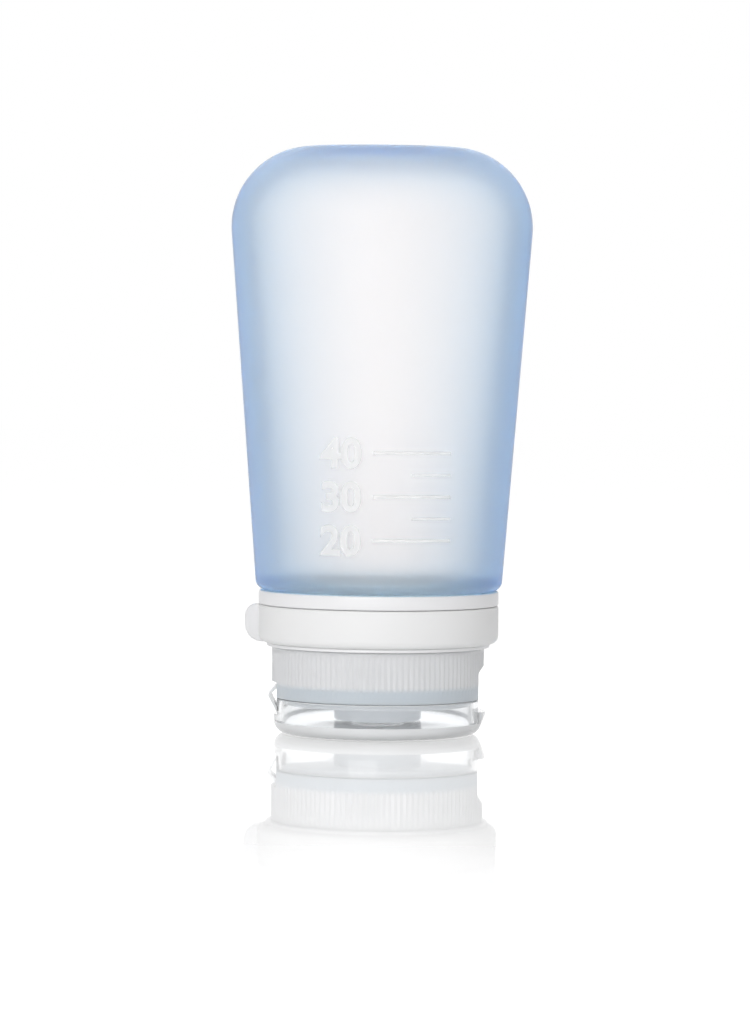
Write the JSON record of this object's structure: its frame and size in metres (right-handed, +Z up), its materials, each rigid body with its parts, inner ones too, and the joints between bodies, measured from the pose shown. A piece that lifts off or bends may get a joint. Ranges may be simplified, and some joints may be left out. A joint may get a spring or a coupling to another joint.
{
  "type": "travel bottle",
  "caption": "Squeezable silicone travel bottle that stands on its ribbed screw cap, with a hinged flip lid, a slit valve, a rigid neck collar and a turning carry band.",
  "frame": {"origin": "on the bottle's axis, on the outer face of the closed lid that the bottle stands on", "axes": "+Z up along the bottle's axis towards its flat end, +X towards the lid's thumb lip, -X towards the hinge strap and the pull tab, -Y towards the viewer"},
  "size_m": [0.054, 0.0444, 0.1053],
  "materials": {
    "bottle_silicone": "frosted translucent light blue silicone",
    "collar_plastic": "satin white",
    "band_rubber": "matte soft white",
    "cap_plastic": "milky translucent",
    "valve_silicone": "translucent silicone",
    "washer_rubber": "soft white",
    "lid_plastic": "clear, polished"
  },
  "bodies": {
    "bottle": {"bottle_shell": "bottle_silicone", "neck_collar": "collar_plastic"},
    "band": {"carry_band": "band_rubber"},
    "washer": {"sealing_washer": "washer_rubber"},
    "cap": {"screw_cap": "cap_plastic", "dispensing_valve": "valve_silicone", "valve_retainer": "cap_plastic", "hinge_strap": "lid_plastic"},
    "lid": {"flip_lid": "lid_plastic"}
  },
  "joints": [
    {"name": "band_swivel", "type": "hinge", "parent": "bottle", "child": "band", "pos_m": [0, 0, 0.0197], "axis": [0, 0, 1], "continuous": true},
    {"name": "cap_lift", "type": "slide", "parent": "bottle", "child": "washer", "axis": [0, 0, -1], "range_m": [0, 0.012]},
    {"name": "cap_turn", "type": "hinge", "parent": "washer", "child": "cap", "pos_m": [0, 0, 0.01], "axis": [0, 0, -1], "range_deg": [0, 1080]},
    {"name": "lid_hinge", "type": "hinge", "parent": "cap", "child": "lid", "pos_m": [-0.0195, 0, 0.007], "axis": [0, 1, 0], "range_deg": [0, 150], "deforming": ["hinge_strap"]}
  ],
  "couplings": [
    {"joint": "cap_lift", "follows": "cap_turn", "m_per_rad": 0.00063661}
  ]
}
